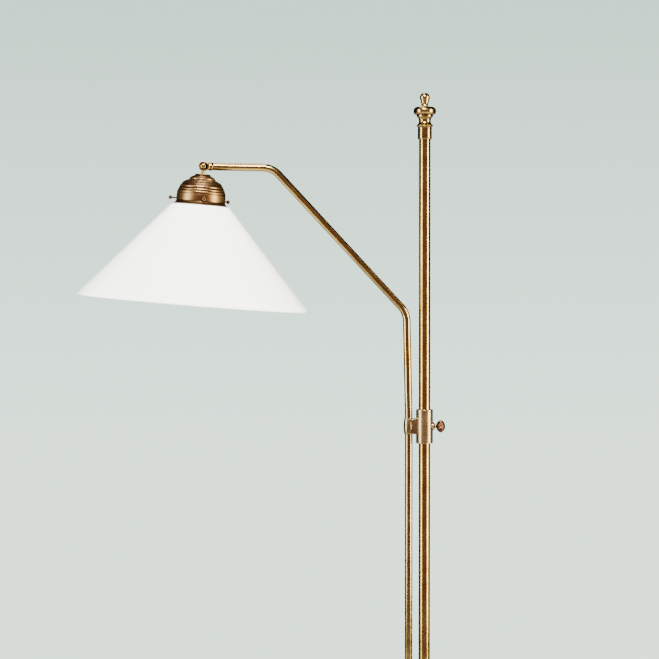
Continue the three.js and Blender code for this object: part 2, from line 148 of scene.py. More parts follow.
def meshObject(name, points, faces, attributes=None):   # attributes: name -> (kind, field, values)
    mesh = bpy.data.meshes.new(name)
    mesh.from_pydata(points.tolist(), [], faces)
    mesh.polygons.foreach_set("use_smooth", np.ones(len(mesh.polygons), bool))
    for key, (kind, field, values) in (attributes or {}).items():
        layer = mesh.attributes.new(key, kind, "POINT")
        layer.data.foreach_set(field, np.asarray(values, np.float32).ravel())
    mesh.update()
    obj = bpy.data.objects.new(name, mesh)
    bpy.context.scene.collection.objects.link(obj)
    return obj


def gridFaces(rows, columns, closedRows):
    # quads between neighbouring rows; columns always close on themselves
    index = np.arange(rows * columns).reshape(rows, columns)
    below = index if closedRows else index[:-1]
    above = np.roll(index, -1, 0) if closedRows else index[1:]
    quads = [below, np.roll(below, -1, 1), np.roll(above, -1, 1), above]
    return np.stack(quads, -1).reshape(-1, 4)


def rounded(corners, closed=False, step=0.16):
    # corners are (..., fillet): each is swapped for an arc of that radius, tangent to both sides;
    # an arc point is centre + (sin((1-t)w) a + sin(t w) b) / sin(w), between its spokes a and b.
    # where two arcs want more than the side between them, both give way in proportion
    rows = np.asarray(corners, float)
    points, fillets = rows[:, :-1], rows[:, -1].copy()
    if not closed:
        fillets[[0, -1]] = 0
    back, onward = np.roll(points, 1, 0) - points, np.roll(points, -1, 0) - points
    side = np.maximum(np.linalg.norm(onward, axis=1), 1e-9)
    back /= np.linalg.norm(back, axis=1, keepdims=True) + 1e-12
    onward /= side[:, None]
    half = np.arccos(np.clip((back * onward).sum(1), -1, 1)) / 2
    wanted = np.where(fillets > 0, fillets / np.tan(np.maximum(half, 1e-3)), 0)
    share = np.minimum(1, 0.98 * side / np.maximum(wanted + np.roll(wanted, -1), 1e-9))
    setbacks = wanted * np.minimum(share, np.roll(share, 1))
    parts = []
    for point, a, b, corner, setback in zip(points, back, onward, half, setbacks):
        if setback < 1e-6:
            parts.append(point[None])
            continue
        middle = (a + b) / np.linalg.norm(a + b)
        centre = point + middle * setback / np.cos(corner)
        spokeA, spokeB = point + a * setback - centre, point + b * setback - centre
        width = np.pi - 2 * corner
        t = np.linspace(0, 1, max(3, int(np.ceil(width / step)) + 1))[:, None]
        parts.append(centre + (np.sin((1 - t) * width) * spokeA + np.sin(t * width) * spokeB)
                     / np.sin(width))
    return np.concatenate(parts)


def held(line, closed, guard=0.12):
    # two extra points near the ends of every long straight, so that flat faces shade flat
    ahead = np.roll(line, -1, 0)
    length = np.linalg.norm(ahead - line, axis=1)
    reach = np.minimum(guard / np.maximum(length, 1e-9), 0.3)[:, None]
    trio = np.stack([line, line + (ahead - line) * reach, ahead - (ahead - line) * reach], 1)
    keep = np.stack([np.ones(len(line), bool), length > 3 * guard, length > 3 * guard], 1)
    if not closed:
        keep[-1, 1:] = False
    return trio[keep]


def offset(line, distance):
    # the line moved to its left by distance along its normal (-dh, dr)
    slope = np.gradient(line, axis=0)
    normal = np.stack([-slope[:, 1], slope[:, 0]], 1)
    return line + distance * normal / np.linalg.norm(normal, axis=1, keepdims=True)


def shell(line, wall):
    # a closed section: the outer line, a half round edge, and the line moved inwards by wall
    inner = offset(line, wall)[::-1]
    edges = []
    for a, b in ((line[-1], inner[0]), (inner[-1], line[0])):
        middle, spoke = (a + b) / 2, (a - b) / 2
        side = np.array([-spoke[1], spoke[0]])
        angle = np.linspace(0, np.pi, 7)[1:-1, None]
        edges.append(middle + np.cos(angle) * spoke + np.sin(angle) * side)
    return np.concatenate([line, edges[0], inner, edges[1]])


def wearOf(line, closed, reach=0.7):
    # how sharply the section turns near each point: above 0 on edges, below 0 in hollows
    before, after = line - np.roll(line, 1, 0), np.roll(line, -1, 0) - line
    turn = np.arctan2(before[:, 0] * after[:, 1] - before[:, 1] * after[:, 0],
                      (before * after).sum(1))
    if not closed:
        turn[[0, -1]] = 0
    place = np.concatenate([[0], np.cumsum(np.linalg.norm(np.diff(line, axis=0), axis=1))])
    gap = np.abs(place[:, None] - place[None, :])
    if closed:
        total = place[-1] + np.linalg.norm(line[0] - line[-1])
        gap = np.minimum(gap, total - gap)
    spread = np.exp(-(gap / reach) ** 2) / (reach * np.sqrt(np.pi))
    return np.clip(spread @ turn, -1, 1)


# places that round pieces are turned about: an origin, and the directions across, up and along.
upright = (np.zeros(3), np.array([1.0, 0, 0]), np.array([0, 1.0, 0]), np.array([0, 0, 1.0]))


def turned(name, line, axis=upright, sides=96, ripple=None, closed=True):
    # radius r and height h on the section give origin + h along + r (cos a across + sin a up);
    # ripple(angle, height, radius) changes the radius. A section that isn't closed ends on the axis
    line = held(np.asarray(line, float), closed)
    origin, across, up, along = axis
    angle = np.linspace(0, fullTurn, sides, endpoint=False)[None, :]
    radius, height = line[:, :1] * np.ones_like(angle), line[:, 1:] * np.ones_like(angle)
    if ripple:
        radius = ripple(angle, height, radius)
    spoke = np.cos(angle)[..., None] * across + np.sin(angle)[..., None] * up
    grid = (height[..., None] * along + radius[..., None] * spoke) * mm + origin
    rows = len(line)
    faces = gridFaces(rows, sides, closed)
    index = np.arange(rows * sides)
    if not closed:
        index[:sides] = 0
        index[-sides:] = (rows - 1) * sides
    used, packed = np.unique(index, return_inverse=True)
    faces = packed[faces]
    lists = [list(dict.fromkeys(face)) for face in faces.tolist()]
    wear = np.repeat(wearOf(line, closed), sides)
    spin = np.stack([np.cos(angle) * np.ones_like(height), np.sin(angle) * np.ones_like(height),
                     height], -1).reshape(-1, 3)
    attributes = {"wear": ("FLOAT", "value", wear[used]),
                  "spin": ("FLOAT_VECTOR", "vector", spin[used])}
    return meshObject(name, grid.reshape(-1, 3)[used], lists, attributes)


def finish(obj, body, material, slotName, *nodes):
    obj.data.materials.clear()
    obj.data.materials.append(material)
    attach(obj, body)
    if nodes:
        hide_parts(*nodes)
    return obj


def joined(name, pieces):
    # several closed surfaces in one object
    bpy.ops.object.select_all(action="DESELECT")
    for piece in pieces:
        piece.select_set(True)
    bpy.context.view_layer.objects.active = pieces[0]
    bpy.ops.object.join()
    pieces[0].name = name
    return pieces[0]


markSpacing = 5 / 12   # mm of height from one tool mark to the next


def patch(size):
    # a noise texture's scale for patches of this size in mm: one over the size in metres
    return 1 / (size * mm)


def newMaterial(name, **settings):
    material = bpy.data.materials.new(name)
    material.use_nodes = True
    tree = material.node_tree
    shader = tree.nodes["Principled BSDF"]
    for key, value in settings.items():
        shader.inputs[key].default_value = value
    return material, tree, shader


def agedBrass(name, bright, body, dark, roughness, lineDepth, brushed):
    # brass, turned and lacquered, browned with age: warm and mirror-like on the swell of a tube,
    # red-brown in its hollows, with faint lines left by the lathe
    material, tree, shader = newMaterial(name, Metallic=1.0, Anisotropic=brushed)
    where = node(tree, "ShaderNodeTexCoord")
    wear = node(tree, "ShaderNodeAttribute", {"attribute_name": "wear"})
    spin = node(tree, "ShaderNodeAttribute", {"attribute_name": "spin"})
    cloud = node(tree, "ShaderNodeTexNoise", {"Scale": patch(18.18), "Detail": 4.0, "Roughness": 0.6},
                 {"Vector": where.outputs["Object"]})
    shade = node(tree, "ShaderNodeMapRange", {"From Min": 0.3, "From Max": 0.7},
                 {"Value": cloud.outputs[0]})
    tone = node(tree, "ShaderNodeMix", {"data_type": "RGBA", 6: linear(body), 7: linear(bright)},
                {0: shade.outputs[0]})
    hollow = node(tree, "ShaderNodeMapRange", {"From Min": 0.02, "From Max": -0.35,
                                               "To Max": 0.85}, {"Value": wear.outputs["Fac"]})
    aged = node(tree, "ShaderNodeMix", {"data_type": "RGBA", 7: linear(dark)},
                {0: hollow.outputs[0], 6: tone.outputs[2]})
    tree.links.new(aged.outputs[2], shader.inputs["Base Color"])
    # tool marks: spin holds the turn as a unit circle and the height in mm, so they run round
    stretched = node(tree, "ShaderNodeMapping", {"Scale": (1.2, 1.2, 1 / markSpacing)},
                     {"Vector": spin.outputs["Vector"]})
    lines = node(tree, "ShaderNodeTexNoise", {"Scale": 1.0, "Detail": 3.0},
                 {"Vector": stretched.outputs[0]})
    gloss = node(tree, "ShaderNodeMapRange", {"To Min": roughness * 0.8,
                                              "To Max": roughness * 1.35},
                 {"Value": cloud.outputs[0]})
    tree.links.new(gloss.outputs[0], shader.inputs["Roughness"])
    bump = node(tree, "ShaderNodeBump", {"Strength": 1.0, "Distance": lineDepth * mm},
                {"Height": lines.outputs[0]})
    tree.links.new(bump.outputs[0], shader.inputs["Normal"])
    if brushed:
        tangent = node(tree, "ShaderNodeTangent", {"direction_type": "RADIAL", "axis": "Z"})
        tree.links.new(tangent.outputs[0], shader.inputs["Tangent"])
    return material


def opalGlass():
    # opal glass, blown and fire polished: milk white, light soaks a few millimetres into it, and
    # a clear skin over it mirrors the lights; the wall swells by hundredths of a millimetre
    material, tree, shader = newMaterial("opalGlassFirePolished", Roughness=0.16, IOR=1.52)
    shader.inputs["Specular IOR Level"].default_value = 0.2
    shader.inputs["Sheen Weight"].default_value = 0.25
    shader.inputs["Sheen Roughness"].default_value = 0.3
    shader.inputs["Base Color"].default_value = linear("#F5F8F2")
    shader.inputs["Subsurface Weight"].default_value = 0.35
    shader.inputs["Subsurface Radius"].default_value = (0.006, 0.006, 0.005)
    shader.inputs["Subsurface Scale"].default_value = 1.0
    where = node(tree, "ShaderNodeTexCoord")
    swell = node(tree, "ShaderNodeTexNoise", {"Scale": patch(71.43), "Detail": 1.0},
                 {"Vector": where.outputs["Object"]})
    bump = node(tree, "ShaderNodeBump", {"Strength": 0.5, "Distance": 0.1 * mm},
                {"Height": swell.outputs[0]})
    tree.links.new(bump.outputs[0], shader.inputs["Normal"])
    return material


def speckled(name, colour, second, grainSize, roughness, depth, **settings):
    # a plain finish with a second tone in a grain of grainSize mm, and the same grain as relief
    material, tree, shader = newMaterial(name, **settings)
    where = node(tree, "ShaderNodeTexCoord")
    grain = node(tree, "ShaderNodeTexNoise", {"Scale": patch(grainSize), "Detail": 5.0},
                 {"Vector": where.outputs["Object"]})
    tone = node(tree, "ShaderNodeMix", {"data_type": "RGBA", 6: linear(colour),
                                        7: linear(second)}, {"Factor": grain.outputs[0]})
    tree.links.new(tone.outputs[2], shader.inputs["Base Color"])
    gloss = node(tree, "ShaderNodeMapRange", {"To Min": roughness * 0.8,
                                              "To Max": roughness * 1.2},
                 {"Value": grain.outputs[0]})
    tree.links.new(gloss.outputs[0], shader.inputs["Roughness"])
    bump = node(tree, "ShaderNodeBump", {"Strength": 1.0, "Distance": depth * mm},
                {"Height": grain.outputs[0]})
    tree.links.new(bump.outputs[0], shader.inputs["Normal"])
    return material


# drawn, turned, cast, spun and darkened brass: name, pale, body and dark tone, roughness,
# depth of the tool marks in mm, and how far the gloss is brushed along them
tubeBrass = agedBrass("drawnBrassLacquered", "#8E7646", "#735831", "#2C190D", 0.15, 0.0003, 0.0)
castBrass = agedBrass("turnedBrassPolished", "#8E7545", "#705530", "#22130B", 0.18, 0.0004, 0.0)
satinBrass = agedBrass("castBrassSatin", "#897252", "#705C3C", "#2A1A10", 0.26, 0.0004, 0.0)
spunBrass = agedBrass("spunBrassBrushed", "#735838", "#5C4025", "#1C0E07", 0.29, 0.0008, 0.4)
darkBrass = agedBrass("turnedBrassOxidised", "#573625", "#3A2217", "#180C07", 0.2, 0.0004, 0.0)
opal = opalGlass()
# zinc plate on steel: dull grey with a faint crystal grain
zinc = speckled("zincPlatedSteel", "#A8A9A6", "#8E908F", 1.111, 0.42, 0.004, Metallic=1.0)
# cast iron, as it left the sand: near black, coarse and matt
iron = speckled("sandCastIron", "#37383A", "#26272A", 2.5, 0.75, 0.12, Metallic=0.6)
# pressed wool felt: deep green, no gloss, clumps of fibre just under a millimetre
felt = speckled("pressedWoolFelt", "#2F3D30", "#1F2A21", 0.8333, 0.95, 0.15)
# natural nylon, moulded: waxy off-white
nylon = speckled("mouldedNylon", "#DCD5C3", "#CFC7B2", 2, 0.45, 0.006)
# moulded rubber: soft black with a bloom
rubber = speckled("mouldedRubber", "#1D1D1E", "#2A2A2B", 1.25, 0.6, 0.01)
# glazed porcelain: cream white under a clear hard glaze
porcelain = speckled("glazedPorcelain", "#EAE6DC", "#E2DDD0", 6.25, 0.16, 0.004)
# inside-frosted lamp glass: soft white, smooth outside
frosted = speckled("frostedLampGlass", "#F1F1EC", "#E9E9E3", 16.67, 0.2, 0.002)
print("materials are made")


# where things are comes from the frame, in mm
def lowest(piece):
    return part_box(piece)[0].z / mm


def highest(piece):
    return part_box(piece)[1].z / mm


jointNamed = {joint["name"]: joint for joint in frame["joints"]}
pivot = np.array(jointNamed["shade_tilt"]["pos_m"], float)
screwAxes = {side: np.array(jointNamed[f"screw_{side}_travel"]["axis"], float)
             for side in ("front", "right", "left")}
headUp = np.cross(screwAxes["front"], screwAxes["right"])
headUp /= np.linalg.norm(headUp)
sideways = np.array([0, 1.0, 0])


def axisAlong(origin, along, across=None):
    # a place to turn a piece about; across, if not given, is at right angles to along and Y
    along = along / np.linalg.norm(along)
    if across is None:
        across = np.cross(sideways, along)
        across = across if np.linalg.norm(across) > 0.1 else np.array([1.0, 0, 0])
    across = across / np.linalg.norm(across)
    return (np.asarray(origin, float), across, np.cross(along, across), along)


# radius and depth below the pivot, so that "along" points down the shade
hangs = axisAlong(pivot, -headUp)


# the foot
foot = {
    # a rolled edge, a step, then a shallow dome z = 15 + 19 (1 - t^2) up to a flat crown
    "edge": [(130, 1, 0), (130, 9, 3), (124, 12.3, 1.5), (121.6, 13.2, 1), (121, 15, 0.8)],
    "domeFoot": 15, "rise": 19, "domeEdge": 120.5, "crown": 30, "hole": 5, "wall": 1.5,
    # a flared skirt, a cove, a bead between two fillets, a slim taper and a rolled top
    "socket": [(7.8, 0, 0), (31, 0, 0.5), (31.2, 2.6, 1), (28.2, 4.2, 1.2), (22.4, 5.6, 3),
               (14.6, 12, 10), (13, 22.6, 2), (13.4, 24.6, 0.5), (16.3, 26, 1.8),
               (16.3, 30.4, 1.8), (13.2, 31.6, 0.5), (12.2, 34, 1), (11.3, 56, 0.8),
               (10.2, 59.4, 0.8), (7.8, 59.7, 0)],
}


def addFoot():
    t = np.linspace(1, 0, 28)[1:]
    dome = np.stack([foot["crown"] + (foot["domeEdge"] - foot["crown"]) * t,
                     foot["domeFoot"] + foot["rise"] * (1 - t * t)], 1)
    crown = np.array([[foot["hole"], foot["domeFoot"] + foot["rise"]]])
    line = np.concatenate([rounded(foot["edge"]), dome, crown])
    cover = turned("base_cover_fine", shell(line, foot["wall"]), sides=288)
    finish(cover, stand, castBrass, "antique_brass", "base_cover")
    seat = axisAlong((0, 0, lowest("column_socket") * mm), np.array([0, 0, 1.0]))
    line = rounded(foot["socket"], closed=True)
    finish(turned("column_socket_fine", line, seat, 128), stand, castBrass, "antique_brass",
           "column_socket")


# the pole and its finial
pole = {
    "radius": 7.5, "bore": 6.25,
    # a plain sleeve, its lower edge eased
    "sleeve": [(7.8, 0, 0.1), (8.6, 0, 0.3), (9.2, 0.8, 0.4), (9.2, 15.5, 0.4), (2.9, 15.5, 0.1),
               (2.9, 12.7, 0.1), (7.8, 12.7, 0.1)],
    # a sharp ring, a deep cove, a quirk, a fat half-round and a flat top
    "vase": [(2.8, 0, 0.1), (9.3, 0, 0.3), (11.3, 1.8, 0.4), (7.6, 5.2, 6), (8, 11.6, 6),
             (10.7, 13.6, 0.5), (10.7, 15.6, 0.6), (10.2, 16, 0.2), (14.75, 16, 6),
             (14.75, 26.3, 6), (9.4, 26.3, 0.4), (2.8, 26.3, 0.1)],
    # a small collar, then a bullet that swells upwards under a round cap
    "knob": [(0, 0, 0), (4.2, 0, 0.4), (4.7, 1.4, 0.7), (4.2, 2.9, 0.5), (4.7, 4.2, 0.5),
             (6.55, 11, 8), (6.5, 18, 6.2), (0, 18, 0)],
}


def addPole():
    low, high = lowest("pole_tube"), highest("pole_tube")
    radius, bore = pole["radius"], pole["bore"]
    wall = [(radius, low, 0.3), (radius, high, 0.3), (bore, high, 0.3), (bore, low, 0.3)]
    line = rounded(wall, closed=True)
    finish(turned("pole_tube_fine", line, sides=96), stand, tubeBrass, "antique_brass",
           "pole_tube")
    for piece in ("sleeve", "vase", "knob"):
        name = f"finial_{piece}"
        seat = axisAlong((0, 0, lowest(name) * mm), np.array([0, 0, 1.0]))
        isClosed = piece != "knob"
        line = rounded(pole[piece], closed=isClosed)
        finish(turned(name + "_fine", line, seat, 128, closed=isClosed), stand, castBrass,
               "antique_brass", name)


# clamp and guide: a sleeve, a barrel round the arm, and a flat bridge between
blocks = {
    "sleeve": 11.05, "bore": 9.2, "mouth": 8, "lip": 1.8,
    "armX": -20.5, "armBore": 5.3, "barrel": 5.85, "swell": 1.0,
    "plate": 6, "flare": 2.2,
    "halfHeights": {"upper_clamp": 10.4, "lower_guide": 8},
    # the boss under the thumb screw: a drum and a cone
    "boss": [(0, 9, 0), (5.5, 9, 0), (5.5, 11.3, 0.5), (3.5, 13.5, 0.4), (2.4, 13.5, 0.1),
             (2.4, 12.4, 0.1), (0, 12.4, 0)],
}


def loft(name, section, stations, axis):
    # the same section (across, up), scaled at each station (along, across scale, up scale)
    origin, across, up, along = axis
    place, wide, tall = (np.asarray(stations, float)[:, k, None, None] for k in range(3))
    flat = section[None, :, 0, None] * wide * across + section[None, :, 1, None] * tall * up
    grid = (flat + place * along) * mm + origin
    rows, columns = grid.shape[:2]
    caps = [list(range(columns))[::-1], list(range((rows - 1) * columns, rows * columns))]
    faces = gridFaces(rows, columns, False).tolist() + caps
    return meshObject(name, grid.reshape(-1, 3), faces)


def addBlock(name, body):
    low, high = lowest(name), highest(name)
    middle, half = (low + high) / 2, blocks["halfHeights"][name]
    sleeve, bore, mouth, lip = (blocks[key] for key in ("sleeve", "bore", "mouth", "lip"))
    ring = [(sleeve, low, 0.8), (sleeve, high, 0.8), (mouth, high, 0.2), (mouth, high - lip, 0.1),
            (bore, high - lip, 0.1), (bore, low + lip, 0.1), (mouth, low + lip, 0.1),
            (mouth, low, 0.2)]
    pieces = [turned(name + "_sleeve", rounded(ring, closed=True), sides=128)]
    # barrel: radius = plain + swell (1 - (z / half)^2)
    t = np.linspace(-1, 1, 25)
    edge = blocks["barrel"] + blocks["swell"] * (1 - t * t)
    wall = np.stack([edge, middle + half * t, np.where(abs(t) == 1, 0.35, 0)], 1)
    hole = [(blocks["armBore"], middle + half, 0.1), (blocks["armBore"], middle - half, 0.1)]
    armSeat = axisAlong((blocks["armX"] * mm, 0, 0), np.array([0, 0, 1.0]))
    line = rounded(np.concatenate([wall, hole]), closed=True)
    pieces.append(turned(name + "_barrel", line, armSeat, 96))
    # bridge: a rounded plate whose height grows by flare * s^4 towards the sleeve
    thick = blocks["plate"]
    flat = [(thick, 1, 1.0), (-thick, 1, 1.0), (-thick, -1, 1.0), (thick, -1, 1.0)]
    tall = half - 0.7
    section = rounded([(y, z * tall, r) for y, z, r in flat], closed=True)
    s = np.linspace(0, 1, 20)
    start, end = blocks["armX"] + 0.4, -sleeve + 1.6
    growth = 1 + blocks["flare"] / tall * s ** 4
    stations = np.stack([start + (end - start) * s, np.ones_like(s), growth], 1)
    seat = (np.array([0, 0, middle * mm]), sideways, np.array([0, 0, 1.0]), np.array([1.0, 0, 0]))
    pieces.append(loft(name + "_bridge", held(section, True), stations, seat))
    if name == "upper_clamp":
        right = axisAlong((0, 0, middle * mm), np.array([1.0, 0, 0]))
        pieces.append(turned(name + "_boss", rounded(blocks["boss"]), right, 96, closed=False))
    finish(joined(name + "_fine", pieces), body, satinBrass, "satin_brass", name)


# thumb screw: a bead on its neck, and a lens-shaped head with a knurled edge
thumb = {
    "stud": [(0, 10.6, 0), (2, 10.6, 0.3), (2, 13.8, 0.2), (2.25, 14, 0.2), (2.3, 14.6, 0.5),
             (2.25, 15.2, 0.2), (2, 15.4, 0.2), (2, 20, 0.1), (0, 20, 0)],
    "head": [(0, 20.3, 0), (2.3, 20.3, 0.1), (2.3, 15.6, 0.1), (3, 15.6, 0.3), (5.6, 17, 2),
             (8.1, 19.6, 1.2), (8.1, 22.7, 1.4), (5.4, 25.7, 3), (2.4, 27, 2), (0, 27, 0)],
    "flutes": 30, "fluteDepth": 0.5, "fluteMiddle": 21.2, "fluteReach": 2.3,
}


def knurled(angle, height, radius):
    # flutes: radius - depth (1 + cos(n a)) / 2, fading out away from the rim of the head
    fade = np.exp(-((height - thumb["fluteMiddle"]) / thumb["fluteReach"]) ** 4)
    return radius - thumb["fluteDepth"] * fade * (0.5 + 0.5 * np.cos(thumb["flutes"] * angle))


def addThumbScrew():
    lo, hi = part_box("clamp_pad")
    right = axisAlong((0, 0, (lo.z + hi.z) / 2), np.array([1.0, 0, 0]))
    stud = turned("thumb_screw_stud_fine", rounded(thumb["stud"]), right, 64, closed=False)
    finish(stud, "thumb_screw", castBrass, "satin_brass", "thumb_screw_stud")
    knob = turned("thumb_screw_knob_fine", rounded(thumb["head"]), right,
                   thumb["flutes"] * 8, knurled, closed=False)
    finish(knob, "thumb_screw", darkBrass, "satin_brass", "thumb_screw_knob")


# the arm: one drawn tube, bent in the plane of the pole
bentArm = {
    "corners": [(-20.5, 535, 0), (-20.5, 977, 29), (-23.5, 1113.8, 29), (-198.3, 1302.656, 29),
                (-274.9, 1304.2, 0)],
    "radius": 5, "bore": 4, "edge": 0.25,
    # heights from the tube's lower end
    "ferrule": [(4.6, -5, 0.1), (5.4, -5, 0.3), (6.4, -4, 0.5), (6.65, -1, 0.5), (6.65, 4, 0.6),
                (6, 6, 0.5), (5.3, 6, 0.1), (5.3, -0.3, 0.1), (4.6, -0.3, 0.1)],
    "bush": [(2.6, -8, 0.4), (3.6, -8, 0.6), (4.9, -7.2, 0.7), (4.9, -5.3, 0.2), (4.3, -5.3, 0.1),
             (4.3, -0.6, 0.2), (2.6, -0.6, 0.2)],
}


def addArmTube():
    points = rounded(bentArm["corners"], step=0.03)
    lengths = np.linalg.norm(np.diff(points, axis=0), axis=1)
    place = np.concatenate([[0], np.cumsum(lengths)])
    total, edge, outer, bore = place[-1], bentArm["edge"], bentArm["radius"], bentArm["bore"]
    inside = place[(place > 1) & (place < total - 1)]
    ends = rounded([(outer, total, edge), (bore, total, edge), (bore, 0, edge), (outer, 0, edge)],
                   closed=True)
    half = len(ends) // 2
    boreWall = np.stack([np.full(len(inside), bore), inside[::-1]], 1)
    outerWall = np.stack([np.full(len(inside), outer), inside], 1)
    line = np.concatenate([ends[:half], boreWall, ends[half:], outerWall])
    s, sides = line[:, 1], 72
    centre = np.stack([np.interp(s, place, points[:, k]) for k in (0, 1)], 1)
    slope = np.gradient(points, place, axis=0)
    along = np.stack([np.interp(s, place, slope[:, k]) for k in (0, 1)], 1)
    along /= np.linalg.norm(along, axis=1, keepdims=True)
    zero = np.zeros(len(s))
    along = np.stack([along[:, 0], zero, along[:, 1]], 1)
    centre = np.stack([centre[:, 0], zero, centre[:, 1]], 1)
    across = np.cross(sideways, along)
    angle = np.linspace(0, fullTurn, sides, endpoint=False)
    c, q = np.cos(angle)[None, :, None], np.sin(angle)[None, :, None]
    grid = centre[:, None] + line[:, :1, None] * (c * across[:, None] + q * sideways)
    spin = np.stack([np.ones_like(s)[:, None] * np.cos(angle), np.ones_like(s)[:, None]
                     * np.sin(angle), s[:, None] * np.ones(sides)], -1)
    wear = np.repeat(np.where(line[:, 0] > bore + 0.5, 0, -0.2), sides)
    attributes = {"spin": ("FLOAT_VECTOR", "vector", spin), "wear": ("FLOAT", "value", wear)}
    faces = gridFaces(len(s), sides, True)
    tube = meshObject("arm_tube_fine", grid.reshape(-1, 3) * mm, faces.tolist(), attributes)
    finish(tube, arm, tubeBrass, "antique_brass", "arm_tube")
    seat = axisAlong((points[0, 0] * mm, 0, points[0, 1] * mm), np.array([0, 0, 1.0]))
    ferrule = turned("arm_ferrule_fine", rounded(bentArm["ferrule"], closed=True), seat, 96)
    finish(ferrule, arm, castBrass, "antique_brass", "arm_ferrule")
    bush = turned("cord_outlet_bush_fine", rounded(bentArm["bush"], closed=True), seat, 72)
    finish(bush, arm, rubber, "black_rubber", "cord_outlet_bush")
    return points


# the knuckle: a fork of two cheeks on the arm, a tongue on the stem, a screw and a nut
knuckle = {
    "cheekRadius": 6, "pinHole": 1.8, "slot": 3.3, "face": 5.7,   # slot and face: half widths
    "root": (8, 4.2),   # how far the cheeks run back, and half their height there
    "fitting": [(0, 4, 0), (3.6, 4, 0.2), (4.6, 6, 0.6), (5.5, 8, 0.6), (5.5, 10.4, 0.4),
                (5, 12, 0.4), (4.3, 12.8, 0.1), (3.7, 12.8, 0.1), (3.7, 24, 0.3), (0, 24, 0)],
    "screw": [(0, -7.8, 0), (1.6, -7.8, 0.6), (3.2, -7.1, 0.9), (3.4, -6, 0.2), (1.5, -6, 0.1),
              (1.5, 8.6, 0.4), (0, 8.6, 0)],
    "nut": (3.5, 6, 8.3),   # half the width over flats, near face, far face
}


def addKnuckle(points):
    toArm = points[-2] - points[-1]
    toArm = np.array([toArm[0], 0, toArm[1]])
    back = axisAlong(pivot, toArm, np.cross(sideways, toArm))
    pieces = [turned("fork_fitting", rounded(knuckle["fitting"]), back, 96, closed=False)]
    radius, hole, gap, face = (knuckle[key] for key in ("cheekRadius", "pinHole", "slot", "face"))
    reach, half = knuckle["root"]
    origin, across, up, along = back
    pinAxis = (pivot, across, along, -sideways)
    for sign in (1, -1):
        low, high = sorted((-sign * gap, -sign * face))
        ring = [(hole, low, 0.1), (radius, low, 0.7), (radius, high, 0.3), (hole, high, 0.2)]
        pieces.append(turned(f"fork_cheek{sign}", rounded(ring, closed=True), pinAxis, 96))
        thick = (face - gap) / 2
        box = rounded([(a * half, b * thick, 0.6) for a, b in ((1, 1), (-1, 1), (-1, -1), (1, -1))],
                      closed=True)
        middle = up * sign * (gap + thick)
        seat = (origin + middle * mm, across, up, along)
        swell = [(3.4, 1.05, 1), (5, 1, 1), (reach - 0.6, 1, 1), (reach, 0.9, 0.85)]
        pieces.append(loft(f"fork_root{sign}", held(box, True), swell, seat))
    finish(joined("arm_end_fork_fine", pieces), arm, castBrass, "antique_brass", "arm_end_fork")
    pin = axisAlong(pivot, sideways, np.array([1.0, 0, 0]))
    screw = turned("tilt_screw_fine", rounded(knuckle["screw"]), pin, 64, closed=False)
    finish(screw, arm, castBrass, "antique_brass", "tilt_screw")
    flats, near, far = knuckle["nut"]
    corner = flats / np.cos(np.pi / 6)

    def hexagon(angle, height, edge):
        # flats / cos(a) within each sixth, cut down by a chamfer towards the two faces
        sixth = (angle + np.pi / 6) % (np.pi / 3) - np.pi / 6
        chamfer = corner - 0.35 + 0.9 * np.minimum(height - near, far - height)
        return np.where(edge > 2.5, np.minimum(flats / np.cos(sixth), chamfer), edge)

    rows = [(1.55, near), (flats, near), (flats, near + 0.4), (flats, far - 0.4), (flats, far),
            (1.55, far)]
    nut = turned("tilt_nut_fine", rows, pin, 96, hexagon)
    finish(nut, arm, castBrass, "antique_brass", "tilt_nut")


# the gallery: a raised cap, a beaded dome and a plain skirt with a flared lip
gallery = {
    "cap": [(7.6, 12.1, 0.2), (8.9, 10.2, 0.3), (9.6, 10.5, 0.3), (10.6, 12.2, 1.6),
            (14.5, 13.9, 1.2), (16.9, 16.2, 1.1), (17.2, 17.9, 0.2), (5.3, 17.9, 0.1),
            (5.3, 15.1, 0.1), (3.1, 15.1, 0.1), (3.1, 13.2, 0.3)],
    "dome": [(5.4, 18.2, 0), (19, 18.2, 1.5), (25, 21.4, 5), (27.6, 26.2, 6), (30.9, 33.4, 9),
             (32, 38.4, 12), (32, 46.5, 1.5), (33.7, 49.2, 1.4), (35.5, 50.1, 0)],
    "wall": 0.9, "beads": 3, "beadPitch": 3.8, "beadStart": 25.1, "beadHeight": 0.7,
    "stem": [(0, 5.6, 0), (2.75, 5.6, 0.2), (2.75, 31, 0.3), (0, 31, 0)],
    "tongue": [(1.8, -2, 0.1), (6, -2, 0.4), (6, 2, 0.4), (1.8, 2, 0.1)],
    "screwTip": 28.9, "screwDepth": 43,
    # a plain shank and a ball head, a touch flat on its outer side
    "screw": [(0, 28.9, 0), (0.95, 28.9, 0.2), (0.95, 42.2, 0.3), (2.6, 42.4, 1.8),
              (2.6, 46.3, 2.1), (0, 46.3, 0)],
}


def evenly(line, step):
    # the same line with its points at equal distances, each no less than step
    lengths = np.concatenate([[0], np.cumsum(np.linalg.norm(np.diff(line, axis=0), axis=1))])
    stops = np.linspace(0, lengths[-1], int(lengths[-1] / step) + 1)
    return np.stack([np.interp(stops, lengths, line[:, k]) for k in (0, 1)], 1)


